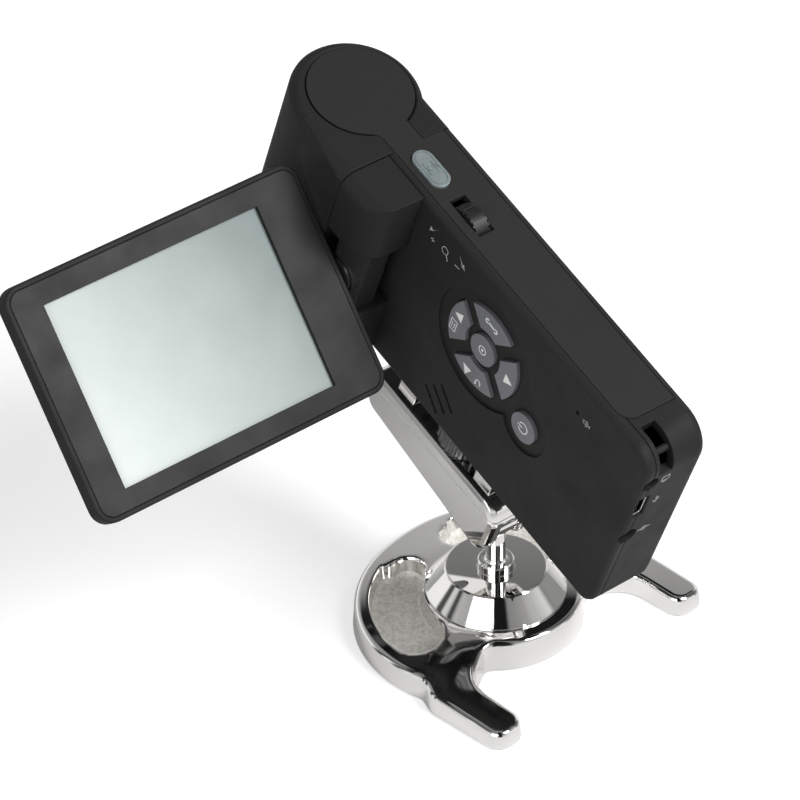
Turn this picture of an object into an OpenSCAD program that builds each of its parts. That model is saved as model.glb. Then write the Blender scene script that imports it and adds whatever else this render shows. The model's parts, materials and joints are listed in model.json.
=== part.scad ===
// Handheld digital microscope with a fold-out screen, on a chrome table stand.
// World frame: Z up, origin on the floor under the stand's stem, X towards the tail of the body.
// Body frame (before it is pitched): x along the body, y from the keypad face to the back, z up.
// The lens barrel's axis is x = 0, y = 0 and the body's top face is z = 0.

/* [Body] */
// Length from the barrel's axis to the tail
body_l = 117; // [110:1:125]
// Height of the body, top face to bottom face
body_h = 58.5; // [56:0.5:62]
// Where the keypad face lies, in front of the barrel's axis
face_y = -4.8; // [-5.2:0.1:-4.4]
// Where the back face lies, behind the barrel's axis
back_y = 14; // [12:0.5:15]
// Radius of the lens barrel
barrel_r = 16; // [15:0.5:17]
// Wall of the plastic shells
wall = 1.8; // [1.5:0.1:2.2]
// How far the body's nose is pitched up on the stand
pitch = 21; // [0:1:30]

/* [Screen] */
// Length of the screen panel
panel_l = 82.3; // [80:0.1:84]
// Height of the screen panel
panel_h = 57.6; // [55:0.1:58]
// Thickness of the screen panel
panel_t = 6.5; // [6:0.1:7]
// Corner radius of the screen panel
panel_r = 4.5; // [3:0.5:6]
// Length of the lit area
lcd_l = 60; // [58:0.5:61]
// Height of the lit area
lcd_h = 45; // [44:0.5:46]
// How far the screen is turned on its swivel
screen_turn = 59; // [0:1:60]
// Distance from the fold axis to the panel's near edge
panel_gap = 7; // [6.9:0.1:7.5]

/* [Keys] */
// Outer radius of the ring of keys
key_ring_r = 12.3; // [11.5:0.1:13]
// Inner radius of the ring of keys
key_inner_r = 6.2; // [6:0.1:6.6]
// Radius of the round middle key
ok_r = 4.2; // [3.8:0.1:4.5]
// Radius of the power key
power_r = 4.1; // [3.8:0.1:4.5]
// Travel left under each key
key_travel = 0.5; // [0.3:0.1:0.6]

/* [Stand] */
// Height of the stem's pivot above the floor
pivot_h = 30.5; // [30:0.5:34]
// Thickness of the cast base under the collar
base_h = 9; // [8.5:0.5:9.5]
// Half width of the base over its legs
base_half_w = 37.9; // [36:0.1:40]
// How far the legs reach in front of the stem
leg_reach = 35.5; // [33:0.5:38]
// Width of each leg
leg_w = 10; // [9:0.5:11]
// Turn of the base under the body
base_turn = 8; // [0:1:10]

/* [Hidden] */
// Body
mid_y = (face_y + back_y) / 2;
split_y = -1.9;
seam_y = -2.8;
head_x = 18.3;
cover_t = 1.4;
cover_end = 105;
cover_back = 11.6;
disc_x = -0.2;
disc_y = 1.1;
disc_r = 12.9;
neck_back = 5.5;
neck_r = 4;
shoulder_y = -18;
gap = 0.3;
fit = 0.06;
// Fold hinge and swivel
fold_x = 25.5;
fold_y = -11.5;
tower_r = 6.7;
swivel_z = -28.8;
knuckle_h = 21;
knuckle_r = 6.1;
fold_pin_r = 1.5;
boss_r = 5;
shaft_r = 2.2;
spigot_r = 1.6;
head_r = 2.4;
// Keypad
pad_x = 63;
pad_z = -22;
power_x = 81.5;
power_z = -30;
key_gap = 4;
dish_r = 16.2;
power_dish_r = 7.4;
dish_depth = 0.6;
key_top = face_y - 0.3;
key_base = face_y + dish_depth + 1.1;
// Top controls
shutter_x = 26.5;
shutter_y = 1.6;
shutter_l = 11.4;
shutter_w = 5.4;
wheel_x = 42.2;
wheel_y = 2;
wheel_z = -4.1;
wheel_r = 5.6;
wheel_w = 4;
window_from = 36;
window_to = 47.4;
// Speaker
speaker_x = 56.1;
speaker_z = -50.1;
speaker_r = 4.3;
// Tail
port_y = split_y;
strap_x = 113.2;
strap_z = -3;
strap_r = 0.9;
video_z = -9.6;
usb_z = -18.5;
power_jack_z = -30.4;
port_r = 2.15;
jack_r = 2.4;
usb_w = 7.6;
usb_t = 3.4;
// Stand
pivot_x = 77.5;
pivot_z = -78.9;
stem_r = 2.5;
eye_r = 4.4;
eye_w = 7.4;
pin_r = 1.25;
ball_z = 16.2;
ball_r = 3.4;
collar_r = 17.3;
collar_top_r = 12.2;
collar_h = 6.5;
ring_r = 4.5;
arm_top = -66.5;
arm_bottom = -84.2;
arm_front = -3;
arm_back = 12;
groove_z = -70.9;
screw_x = 61;
screw_r = 3.1;
bush_r = 5;
wheel_disc_r = 7.2;
pad_t = 2;
lobe_r = 33.7;
lobe_x = 1;
lobe_y = 2.9;
rear_r = 32.9;
front_r = 21.6;
notch_x = 8.5;
pocket_floor = 3.2;
facets = 48;

// ---------- frames and outlines ----------

// From the body frame to the world: pitched about the arm's pivot
module in_body() {
    translate([0, 0, pivot_h]) rotate([0, pitch, 0])
        translate([-pivot_x, -mid_y, -pivot_z]) children();
}

// Panel frame: x along the panel from its near edge, y down it, z out of the screen
module in_panel() {
    in_body() translate([fold_x, fold_y, swivel_z]) rotate([0, -screen_turn, 0])
        rotate([-90, 0, 0]) rotate([0, 90, 0]) translate([panel_gap, 0, 0]) children();
}

// A 2D outline in the body's x-z plane, extruded from y0 to y1
module slab(y0, y1) {
    translate([0, y1, 0]) rotate([90, 0, 0]) linear_extrude(y1 - y0) children();
}

// Rectangle from corner to corner with rounded corners, of true arcs
module rounded(x0, y0, x1, y1, r) {
    union() {
        translate([x0 + r, y0]) square([x1 - x0 - 2 * r, y1 - y0]);
        translate([x0, y0 + r]) square([x1 - x0, y1 - y0 - 2 * r]);
        for (x = [x0 + r, x1 - r], y = [y0 + r, y1 - r])
            translate([x, y]) circle(r, $fn = 32);
    }
}

// The slab's side outline, inset by i, with the tail's top corner of radius rt
module side_outline(i = 0, rt = 6) {
    rb = 4;
    union() {
        translate([head_x, i - body_h]) square([body_l - head_x - rt, body_h - 2 * i]);
        translate([body_l - rt - 1, i - body_h]) square([rt - rb + 1, body_h / 2]);
        translate([body_l - rt - 1, rb - body_h]) square([rt + 1 - i, body_h - rb - rt]);
        translate([body_l - rt, -rt]) circle(rt - i, $fn = 48);
        translate([body_l - rb, rb - body_h]) circle(rb - i, $fn = 32);
    }
}

// Cylinder along y in the body frame
module across(x, z, r, y0, y1) {
    translate([x, y0, z]) rotate([-90, 0, 0]) cylinder(r = r, h = y1 - y0, $fn = facets);
}

// Cylinder along x in the body frame
module along(x0, x1, y, z, r) {
    translate([x0, y, z]) rotate([0, 90, 0]) cylinder(r = r, h = x1 - x0, $fn = facets);
}

// One quarter of the ring of keys, grown by g, facing the angle a
module key_sector(a, g) {
    intersection() {
        difference() {
            circle(key_ring_r + g, $fn = 64);
            circle(key_inner_r - g, $fn = facets);
            for (d = [45, 135]) rotate(d + a)
                translate([-20, -key_gap / 2 + g]) square([40, key_gap - 2 * g]);
        }
        rotate(a - 45) square(20);
    }
}

// ---------- stand ----------

// Round column with softly rounded top edge; the dome cuts it to height
module edged_column(r) rotate_extrude($fn = 128) polygon([
    [0, 0], [r, 0], [r, 5.6], [r - 0.2, 6.2], [r - 0.7, 6.8], [r - 1.6, 7.3], [r - 1.6, 12], [0, 12]]);

// Leg with a rounded tip, its top sloping down to the tip
module leg() hull() {
    for (y = [base_half_w - 4.5, base_half_w - leg_w + 4.5]) translate([leg_reach - 4.5, y, 0]) {
        cylinder(r1 = 4.5, r2 = 4.2, h = 4.2, $fn = 32);
        cylinder(r = 3.4, h = 4.8, $fn = 32);
    }
    translate([notch_x + 1.5, base_half_w - leg_w + 0.1, 0]) cube([1, leg_w - 0.2, 5.6]);
    translate([notch_x + 1.5, base_half_w - leg_w + 0.9, 0]) cube([1, leg_w - 1.8, 6.3]);
}

// Block that joins a leg to the middle
module leg_root() linear_extrude(6.4) polygon([
    [0, 10], [12.6, 17.5], [13.2, 18.8], [16.2, 26.8], [17.4, base_half_w - leg_w + 0.6],
    [12, base_half_w - 1.2], [9.6, base_half_w - 2], [notch_x - 0.6, base_half_w - 3.4], [0, 33]]);

// Kidney-shaped pocket beside the collar
module pocket_outline() difference() {
    intersection() {
        translate([lobe_x, -lobe_y]) circle(lobe_r - 4, $fn = 128);
        union() {
            polygon([[0, 0], for (a = [-157, -142, -127, -112, -99]) 45 * [cos(a), sin(a)]]);
            translate([-3.4, -25.3]) circle(7.2, $fn = 48);
            translate([-20.8, -9.4]) circle(4.9, $fn = 48);
        }
    }
    circle(17.8, $fn = 96);
}

module stand_base() color("silver") rotate(base_turn) difference() {
    intersection() {
        union() {
            intersection() {
                union() {
                    for (s = [-1, 1]) translate([lobe_x, s * lobe_y, 0]) edged_column(lobe_r);
                    edged_column(rear_r);
                }
                translate([-60, -60, -1]) cube([60 + notch_x, 120, 20]);
            }
            rotate_extrude($fn = 128) polygon([[0, 0], [front_r, 0], [front_r - 0.4, 7],
                [front_r - 0.8, 7.9], [front_r - 1.5, 8.4], [front_r - 1.5, 12], [0, 12]]);
            for (s = [0, 1]) mirror([0, s, 0]) {
                leg();
                leg_root();
            }
        }
        // the top falls gently from the collar to the rim
        rotate_extrude($fn = 128) polygon([
            [0, 0], [60, 0], [60, base_h - 4.6], [36, base_h - 2], [17.5, base_h], [0, base_h]]);
    }
    for (s = [0, 1]) mirror([0, s, 0])
        translate([0, 0, pocket_floor]) linear_extrude(10) pocket_outline();
    // counterbore for the screw that holds the collar
    translate([0, 0, -1]) cylinder(r = 5, h = 4, $fn = facets);
    translate([0, 0, -1]) cylinder(r = 2.1, h = 20, $fn = facets);
    // seats for the rubber feet
    for (p = foot_places()) translate([p[0], p[1], -1]) cylinder(r = 3.2, h = 2.2, $fn = facets);
}

function foot_places() = [[29.5, 32.9], [29.5, -32.9], [-27, 0], [-4, 31.5], [-4, -31.5]];

module base_feet() color("dimgray") rotate(base_turn)
    for (p = foot_places()) translate([p[0], p[1], 0]) cylinder(r = 3.2, h = 1.2, $fn = facets);

module base_screw() color("gray") {
    difference() {
        translate([0, 0, 0.6]) cylinder(r = 4.2, h = 2.4, $fn = facets);
        cylinder(r = 1.6, h = 2, $fn = 6);
    }
    translate([0, 0, 2.9]) cylinder(r = 2, h = 7.5, $fn = facets);
}

// Cone on the base with a flat top, bored for the ball's socket
module base_collar() color("silver") difference() {
    translate([0, 0, base_h]) rotate_extrude($fn = 128) polygon([
        [0, 0], [collar_r, 0], [collar_r, 0.35], [collar_r - 0.3, 0.7],
        [collar_top_r + 0.35, collar_h - 0.3], [collar_top_r, collar_h], [0, collar_h]]);
    translate([0, 0, base_h - 1]) cylinder(r = 2.05, h = 2.9, $fn = facets);
    translate([0, 0, 12.2]) cylinder(r = ring_r + 0.05, h = 10, $fn = facets);
}

// Lip of the socket: its mouth closes in over the ball and holds it
module socket_ring() color("silver") translate([0, 0, 12.3]) rotate_extrude($fn = 64) polygon([
    [0, 0], [ring_r, 0], [ring_r, 5.2], [ring_r - 0.3, 5.6], [ball_r - 0.37, 5.6],
    [ball_r - 0.16, 5.1], [ball_r + fit, 4.2], [ball_r + fit, 0.4], [0, 0.4]]);

module stand_stem() color("silver") {
    translate([0, 0, ball_z]) sphere(r = ball_r, $fn = 48);
    translate([0, 0, ball_z]) cylinder(r = stem_r, h = pivot_h - ball_z - 3.4, $fn = facets);
    difference() {
        union() {
            translate([0, eye_w / 2, pivot_h]) rotate([90, 0, 0]) rotate_extrude($fn = 64) polygon([
                [0, 0], [eye_r - 0.6, 0], [eye_r, 0.6], [eye_r, eye_w - 0.6],
                [eye_r - 0.6, eye_w], [0, eye_w]]);
            translate([0, 0, pivot_h - 7]) cylinder(r = stem_r, h = 6, $fn = facets);
        }
        translate([0, 10, pivot_h]) rotate([90, 0, 0])
            cylinder(r = pin_r + fit, h = 20, $fn = facets);
    }
}

module stem_pin() color("silver") in_body()
    across(pivot_x, pivot_z, pin_r, arm_front + 1.2, arm_back - 1.2);

// Side outline of the arm, inset by i: taller towards its lower end
module arm_profile(i = 0) hull() {
    translate([36, arm_top - 2.5]) circle(2.5 - i, $fn = 32);
    translate([76.7, arm_top - 6.1]) circle(6.1 - i, $fn = 64);
    translate([78.2, arm_bottom + 4.5]) circle(4.5 - i, $fn = 48);
    translate([38, arm_bottom + 8.8]) circle(4.5 - i, $fn = 32);
}

module arm_blank() hull() {
    slab(arm_front + 1.8, arm_back - 1.8) arm_profile(0);
    slab(arm_front + 0.5, arm_back - 0.5) arm_profile(0.5);
    slab(arm_front, arm_back) arm_profile(1.6);
}

// Room for the tripod screw through the arm
module screw_way() {
    translate([screw_x, mid_y, arm_bottom - 1]) cylinder(r = screw_r + 1, h = 30, $fn = facets);
}

// Bar under the body, slotted at its lower end for the stem's eye
module arm_bar() color("silver") in_body() difference() {
    union() {
        intersection() {
            arm_blank();
            translate([0, -20, groove_z - 50]) cube([100, 50, 49.85]);
        }
        slab(arm_front + 1.4, arm_back - 1.4) intersection() {
            arm_profile(1.4);
            translate([0, groove_z - 5]) square([100, 5]);
        }
    }
    // slot for the stem
    translate([pivot_x - eye_r - 0.8, mid_y - eye_w / 2 - 0.3, arm_bottom - 1])
        cube([20, eye_w + 0.6, pivot_z - arm_bottom + 1 + eye_r + 0.5]);
    across(pivot_x, pivot_z, pin_r + 0.005, arm_front + 1.2, arm_back - 1.2);
    screw_way();
}

// Plate on the bar with two posts that carry the pads
module arm_cap() color("silver") in_body() difference() {
    union() {
        intersection() {
            arm_blank();
            translate([0, -20, groove_z]) cube([100, 50, 50]);
        }
        for (x = [44, 74]) translate([x - 3, arm_front + 2, arm_top - 0.5])
            cube([6, arm_back - arm_front - 4, -body_h - pad_t - arm_top + 0.5]);
    }
    screw_way();
}

module arm_pads() color("black") in_body()
    for (x = [44, 74]) translate([x - 3.4, arm_front + 1.6, -body_h - pad_t])
        cube([6.8, arm_back - arm_front - 3.2, pad_t]);

// Knurled thumb wheel with the tripod screw
module clamp_wheel() color("dimgray") in_body() {
    translate([screw_x, mid_y, arm_top + 0.4]) difference() {
        cylinder(r = wheel_disc_r, h = 6, $fn = facets);
        for (i = [0:23]) rotate(i * 15) translate([wheel_disc_r + 0.35, 0, -1])
            cylinder(r = 0.7, h = 8, $fn = 12);
    }
    translate([screw_x, mid_y, arm_bottom + 3])
        cylinder(r = screw_r, h = -body_h - arm_bottom - 3 + 5.5, $fn = facets);
    translate([screw_x, mid_y, arm_bottom + 2]) cylinder(r = screw_r + 0.7, h = 1.5, $fn = facets);
}

module tripod_bush() color("goldenrod") in_body() translate([screw_x, mid_y, -body_h]) difference() {
    union() {
        cylinder(r = bush_r, h = 6.5, $fn = facets);
        translate([0, 0, 2.5]) cylinder(r = bush_r + 1, h = 1.5, $fn = facets);
    }
    translate([0, 0, -1]) cylinder(r = screw_r + fit, h = 8, $fn = facets);
}

// ---------- body shells ----------

module key_cuts(g) {
    for (a = [0, 90, 180, 270]) translate([pad_x, pad_z]) key_sector(a, g);
    translate([pad_x, pad_z]) circle(ok_r + g, $fn = facets);
    translate([power_x, power_z]) circle(power_r + g, $fn = facets);
}

// Holes through the tail wall for the sockets, and room for them behind the keypad face
module port_cuts() {
    slab(face_y + 0.85, split_y + 0.1)
        rounded(body_l - 11.6, power_jack_z - 3.3, body_l - wall - 0.6, video_z + 3.3, 0.2);
    along(body_l - 12, body_l + 1, port_y, video_z, port_r);
    along(body_l - 12, body_l + 1, port_y, power_jack_z, jack_r);
    translate([body_l - 12, port_y - usb_t / 2, usb_z - usb_w / 2]) cube([13, usb_t, usb_w]);
}

// Pocket for a wrist strap at the tail's top corner, and the holes its bar sits in
module strap_cuts() {
    translate([107.5, -0.6, -7.4]) cube([20, 4.2, 20]);
    across(strap_x, strap_z, strap_r, -1.6, 4.6);
}

// Well under the shutter key, through the shell's top wall
module shutter_well() {
    translate([0, 0, -5]) linear_extrude(10) shutter_outline(0.15);
}

// Window for the wheel, grown by g under the cover
module wheel_cut(g = 0) {
    translate([window_from - g, wheel_y - wheel_w / 2 - gap, -15])
        cube([window_to - window_from + 2 * g, wheel_w + 2 * gap, 20]);
}

// Fine seam line where the two shells meet
module split_groove() {
    slab(split_y - 0.11, split_y + 0.11) difference() {
        translate([head_x + 1, -body_h - 5]) square([body_l, body_h + 10]);
        side_outline(0.45, 6.6);
    }
}

module front_shell() color("#2b2b2d") in_body() difference() {
    hull() {
        slab(face_y, face_y + 0.1) side_outline(1.3);
        slab(face_y + 0.45, face_y + 0.5) side_outline(0.45);
        slab(face_y + 1.3, face_y + 1.4) side_outline(0, 6.4);
        slab(split_y - 0.1, split_y) side_outline(0, 6.6);
    }
    // hollow behind the face
    slab(face_y + wall + 0.3, split_y + 1) side_outline(wall + 0.6, 6.6);
    // shallow dish round the keys
    slab(face_y - 1, face_y + dish_depth) union() {
        translate([pad_x, pad_z]) circle(dish_r, $fn = 96);
        translate([power_x, power_z]) circle(power_dish_r, $fn = facets);
    }
    slab(face_y - 1, face_y + 4) key_cuts(0.15);
    // speaker slots and the microphone's hole
    for (i = [-1, 0, 1]) slab(face_y - 1, face_y + 4)
        translate([speaker_x + i * 2.1, speaker_z + i * 2.6]) rotate(-39)
            rounded(-3.9, -0.45, 3.9, 0.45, 0.44);
    across(93.4, -9.1, 0.6, face_y - 1, face_y + 4);
    cover_seat();
    port_cuts();
    strap_cuts();
    wheel_cut(0.6);
    shutter_well();
    split_groove();
}

module back_shell() color("#2b2b2d") in_body() difference() {
    hull() {
        slab(split_y, split_y + 0.1) side_outline(0, 6.6);
        slab(back_y - 2.3, back_y - 2.2) side_outline(0, 8.6);
        slab(back_y - 0.8, back_y - 0.7) side_outline(0.65, 8.8);
        slab(back_y - 0.1, back_y) side_outline(2.1, 9);
    }
    difference() {
        slab(split_y - 1, back_y - wall) side_outline(wall + 0.6, 7.5);
        // boss round the tripod bush
        difference() {
            translate([screw_x, mid_y, -body_h]) cylinder(r = bush_r + 3, h = 9, $fn = facets);
            across(speaker_x, speaker_z, speaker_r + 0.5, split_y - 1, 0);
        }
    }
    translate([screw_x, mid_y, -body_h - 1]) cylinder(r = bush_r, h = 7.5, $fn = facets);
    translate([screw_x, mid_y, -body_h + 2.5]) cylinder(r = bush_r + 1, h = 1.5, $fn = facets);
    cover_seat();
    port_cuts();
    strap_cuts();
    wheel_cut(0.6);
    shutter_well();
    split_groove();
    for (p = screw_places()) across(p[0], p[1], 2.2, back_y - 1.5, back_y + 1);
}

function screw_places() = [[24, -6], [24, -52], [111, -12], [111, -52]];

module shell_screws() color("dimgray") in_body()
    for (p = screw_places()) difference() {
        across(p[0], p[1], 2.1, back_y - 1.5, back_y - 0.5);
        for (a = [0, 90]) translate([p[0], back_y - 0.5, p[1]]) rotate([0, a, 0])
            cube([2.4, 1, 0.5], center = true);
    }

// Outline of the shoulder from the front to the back, rounded where it meets the top and bottom
module shoulder_section(front, back) union() {
    translate([front + 4, -body_h]) square([back - front - 6.2, body_h]);
    translate([front, 4 - body_h]) square([back - front, body_h - 8]);
    for (z = [-4, 4 - body_h]) translate([front + 4, z]) circle(4, $fn = 64);
    for (z = [-2.2, 2.2 - body_h]) translate([back - 2.2, z]) circle(2.2, $fn = 48);
    translate([back - 5, 2.2 - body_h]) square([5, body_h - 4.4]);
}

// Extruded along x from x0 to x1, an outline in the y-z plane
module loaf(x0, x1) {
    translate([x0, 0, 0]) rotate([90, 0, 90]) linear_extrude(x1 - x0) children();
}

// Round head with the lens barrel, and the shoulder that joins it to the slab
module head_housing() color("#2b2b2d") in_body() difference() {
    union() {
        rotate_extrude($fn = 128) polygon([
            [0, -body_h], [barrel_r - 1, -body_h], [barrel_r - 0.3, 0.3 - body_h],
            [barrel_r, 1 - body_h], [barrel_r, -2], [barrel_r - 0.15, -1.24],
            [barrel_r - 0.59, -0.59], [barrel_r - 1.24, -0.15], [barrel_r - 2, 0], [0, 0]]);
        intersection() {
            loaf(0, head_x - 0.15) shoulder_section(shoulder_y, back_y);
            translate([0, 0, -body_h]) linear_extrude(body_h) polygon([
                [0, -barrel_r], [2, -barrel_r], [head_x, shoulder_y], [head_x, back_y], [0, back_y]]);
        }
    }
    translate([0, 0, -body_h + 4]) cylinder(r = barrel_r - 2, h = body_h - 7, $fn = 96);
    translate([0, 0, -body_h - 1]) cylinder(r = 12, h = 10, $fn = 96);
    cover_seat();
    // fine groove round the disc
    translate([disc_x, disc_y, -0.5]) cylinder(r1 = disc_r + 0.15, r2 = disc_r + 0.75, h = 0.6, $fn = 96);
}

// Keyhole outline of the top cover, grown by g: disc, neck with a soft inner corner, strip
module cover_outline(g = 0) {
    reach = sqrt(pow(disc_r + neck_r, 2) - pow(neck_r - seam_y + disc_y, 2));
    turn_x = disc_x + reach;
    touch = disc_r / (disc_r + neck_r);
    difference() {
        union() {
            translate([disc_x, disc_y]) circle(disc_r + g, $fn = 96);
            translate([6, seam_y - g]) square([14, neck_back - seam_y + 2 * g]);
            translate([head_x, seam_y - g])
                square([cover_end - head_x + g, cover_back - seam_y + 2 * g]);
            difference() {
                translate([disc_x + reach * touch, seam_y - 2.13])
                    square([reach * (1 - touch), 2.2]);
                translate([turn_x, seam_y - neck_r]) circle(neck_r - g, $fn = 48);
            }
        }
        // rounded corner at the tail's end
        translate([cover_end + g - 4, seam_y - g - 0.01]) difference() {
            square(5);
            translate([0, 4]) circle(4, $fn = 48);
        }
    }
}

module cover_seat() {
    translate([0, 0, -cover_t - 0.15]) linear_extrude(10) cover_outline(0.15);
}

// Keyhole-shaped plate along the top face
module top_cover() color("#303032") in_body() difference() {
    translate([0, 0, -cover_t]) linear_extrude(cover_t) cover_outline();
    shutter_well();
    wheel_cut();
}

module shutter_outline(g) {
    rounded(shutter_x - shutter_l / 2 - g, shutter_y - shutter_w / 2 - g,
        shutter_x + shutter_l / 2 + g, shutter_y + shutter_w / 2 + g, shutter_w / 2 + g - 0.01);
}

// ---------- fold hinge and screen ----------

// Plan of the fixed knuckles: rounded about the fold axis on the screen's side
module tower_plan() union() {
    translate([fold_x, fold_y]) circle(tower_r, $fn = 96);
    translate([head_x + 0.2, fold_y])
        square([fold_x + tower_r - head_x - 0.2, face_y - 0.02 - fold_y]);
    translate([head_x + 0.2, fold_y - tower_r])
        square([fold_x - head_x - 0.2, face_y - 0.02 - fold_y + tower_r]);
}

// Fixed knuckles above and below the turning one
module hinge_tower() color("#2b2b2d") in_body() difference() {
    intersection() {
        union() for (z = [[-18, -0.1], [-body_h + 0.1, -39.6]])
            translate([0, 0, z[0]]) linear_extrude(z[1] - z[0]) tower_plan();
        loaf(head_x, fold_x + 10) shoulder_section(fold_y - tower_r - 0.01, 10);
    }
    translate([fold_x, fold_y, -body_h + 2])
        cylinder(r = fold_pin_r + 0.005, h = body_h - 4, $fn = facets);
}

module fold_pin() color("silver") in_body()
    translate([fold_x, fold_y, -50]) cylinder(r = fold_pin_r, h = 40, $fn = facets);

// Turning knuckle with flats towards the body, and the boss of the swivel
module fold_knuckle() color("#2b2b2d") in_body() difference() {
    union() {
        intersection() {
            translate([fold_x, fold_y, swivel_z - knuckle_h / 2])
                cylinder(r = knuckle_r, h = knuckle_h, $fn = 64);
            translate([fold_x - 10, fold_y - 10, -60]) cube([15.4, 20, 60]);
        }
        across(fold_x, swivel_z, boss_r, fold_y - panel_gap + 1.1, fold_y);
    }
    translate([fold_x, fold_y, -50]) cylinder(r = fold_pin_r + fit, h = 40, $fn = facets);
    across(fold_x, swivel_z, shaft_r + fit, fold_y - 20, fold_y - fold_pin_r - 1);
}

module swivel_shaft() color("silver") in_body() rotate_swivel() {
    across(0, 0, shaft_r, 0.5 - panel_gap, -fold_pin_r - 1.2);
    across(0, 0, boss_r - 0.4, 0.25 - panel_gap, 0.9 - panel_gap);
    across(0, 0, spigot_r, -panel_gap - 4, 0.5 - panel_gap);
    across(0, 0, head_r, -panel_gap - 4.8, -panel_gap - 3.4);
}

module rotate_swivel() {
    translate([fold_x, fold_y, swivel_z]) rotate([0, -screen_turn, 0]) children();
}

module panel_outline(i = 0) {
    rounded(i, i - panel_h / 2, panel_l - i, panel_h / 2 - i, panel_r - i);
}

module screen_case() color("#2b2b2d") in_panel() difference() {
    hull() {
        translate([0, 0, -panel_t / 2]) linear_extrude(panel_t) panel_outline(2.6);
        translate([0, 0, 1.1 - panel_t / 2]) linear_extrude(panel_t - 1.1) panel_outline(0.8);
        translate([0, 0, 2.6 - panel_t / 2]) linear_extrude(panel_t - 2.9) panel_outline(0);
        translate([0, 0, 2.6 - panel_t / 2]) linear_extrude(panel_t - 2.6) panel_outline(0.3);
    }
    // seat for the bezel and the room behind it
    translate([0, 0, panel_t / 2 - 1.2]) linear_extrude(5) panel_outline(1.2);
    translate([0, 0, 1.5 - panel_t / 2]) linear_extrude(10) panel_outline(2.8);
    // way in for the swivel shaft
    translate([-1, 0, 0]) rotate([0, 90, 0]) cylinder(r = spigot_r + fit, h = 6, $fn = facets);
    head_well();
}

// Room for the swivel shaft's head inside the panel
module head_well() {
    translate([3, 0, 0]) rotate([0, 90, 0]) cylinder(r = head_r + 0.1, h = 2.2, $fn = facets);
}

module screen_window(g) {
    translate([13.4 - g, -panel_h / 2 + 6.6 - g]) square([lcd_l + 2 * g, lcd_h + 2 * g]);
}

module screen_bezel() color("#353537") in_panel() difference() {
    translate([0, 0, panel_t / 2 - 1.2]) linear_extrude(1.2) panel_outline(1.35);
    linear_extrude(10) screen_window(0);
    head_well();
}

module lcd_glass() color("lightsteelblue") in_panel()
    translate([0, 0, panel_t / 2 - 2.4]) linear_extrude(1.2) screen_window(1);

module screen_board() color("darkgreen") in_panel()
    translate([9, -22, -1.6]) cube([66, 44, 1.2]);

// ---------- keys and wheel ----------

module sector_key(a) color("#8d9094") in_body() union() {
    slab(key_top, key_base) translate([pad_x, pad_z]) key_sector(a, 0);
}

module round_key(x, z, r) color("#8d9094") in_body() union() {
    across(x, z, r, key_top, key_base);
}

module key_up() sector_key(90);
module key_right() sector_key(0);
module key_down() sector_key(270);
module key_left() sector_key(180);
module key_ok() round_key(pad_x, pad_z, ok_r);
module key_power() round_key(power_x, power_z, power_r);

module shutter_key() color("lightgray") in_body()
    translate([0, 0, -cover_t - 0.1]) linear_extrude(cover_t + 0.7) shutter_outline(0);

module focus_wheel() color("#1c1c1e") in_body() difference() {
    across(wheel_x, wheel_z, wheel_r, wheel_y - wheel_w / 2, wheel_y + wheel_w / 2);
    for (i = [0:23]) translate([wheel_x, 0, wheel_z]) rotate([0, i * 15, 0])
        translate([wheel_r - 0.55, wheel_y - 4, -0.35]) cube([2, 8, 0.7]);
    across(wheel_x, wheel_z, 1 + fit, -5, 12);
}

module wheel_axle() color("silver") in_body()
    across(wheel_x, wheel_z, 1, face_y + wall + 0.3, back_y - wall);

// ---------- tail ----------

module strap_bar() color("#2b2b2d") in_body()
    across(strap_x, strap_z, strap_r, -1.6, 4.6);

module video_jack() color("#1c1c1e") in_body() difference() {
    translate([body_l - 11, port_y - 1.95, video_z - 2.6]) cube([8.5, 4.6, 5.2]);
    along(body_l - 10, body_l + 1, port_y, video_z, 1.3);
}

module usb_socket() color("silver") in_body() difference() {
    translate([body_l - 10.4, port_y - usb_t / 2 + 0.1, usb_z - usb_w / 2 + 0.1])
        cube([9.8, usb_t - 0.2, usb_w - 0.2]);
    translate([body_l - 9.4, port_y - usb_t / 2 + 0.5, usb_z - usb_w / 2 + 0.5])
        cube([12, usb_t - 1, usb_w - 1]);
}

module power_jack() color("#1c1c1e") in_body() difference() {
    translate([body_l - 11, port_y - 1.95, power_jack_z - 3]) cube([8.5, 5.5, 6]);
    along(body_l - 10, body_l + 1, port_y, power_jack_z, 1.7);
}

// ---------- optics and inner pieces ----------

module lens_ring() color("#1c1c1e") in_body() difference() {
    union() {
        translate([0, 0, -body_h - 3]) cylinder(r = 13.4, h = 3, $fn = 96);
        translate([0, 0, -body_h - 0.1]) cylinder(r = 11.95, h = 4, $fn = 96);
    }
    translate([0, 0, -body_h - 4]) cylinder(r = 10.4, h = 10, $fn = 96);
}

module lens_glass() color("lightblue") in_body()
    translate([0, 0, -body_h - 0.6]) cylinder(r = 10.35, h = 1.2, $fn = 96);

module led_ring() color("ivory") in_body() for (i = [0:7]) rotate(i * 45)
    translate([7.6, 0, -body_h + 1.6]) cylinder(r = 1.4, h = 2.4, $fn = 24);

module optics_tube() color("dimgray") in_body() difference() {
    union() {
        translate([0, 0, -body_h + 1.6]) cylinder(r = 5.6, h = 34, $fn = facets);
        translate([0, 0, -body_h + 4.4]) cylinder(r = 9.5, h = 3, $fn = facets);
    }
    translate([0, 0, -body_h]) cylinder(r = 3.2, h = 30, $fn = facets);
}

module main_board() color("darkgreen") in_body()
    translate([30, 0.4, -48.5]) cube([70, 1.4, 28]);

module battery_pack() color("steelblue") in_body()
    translate([30, 3.6, -38]) cube([56, 7, 24]);

module speaker() color("dimgray") in_body()
    across(speaker_x, speaker_z, speaker_r, face_y + wall + 0.6, -0.4);

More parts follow.
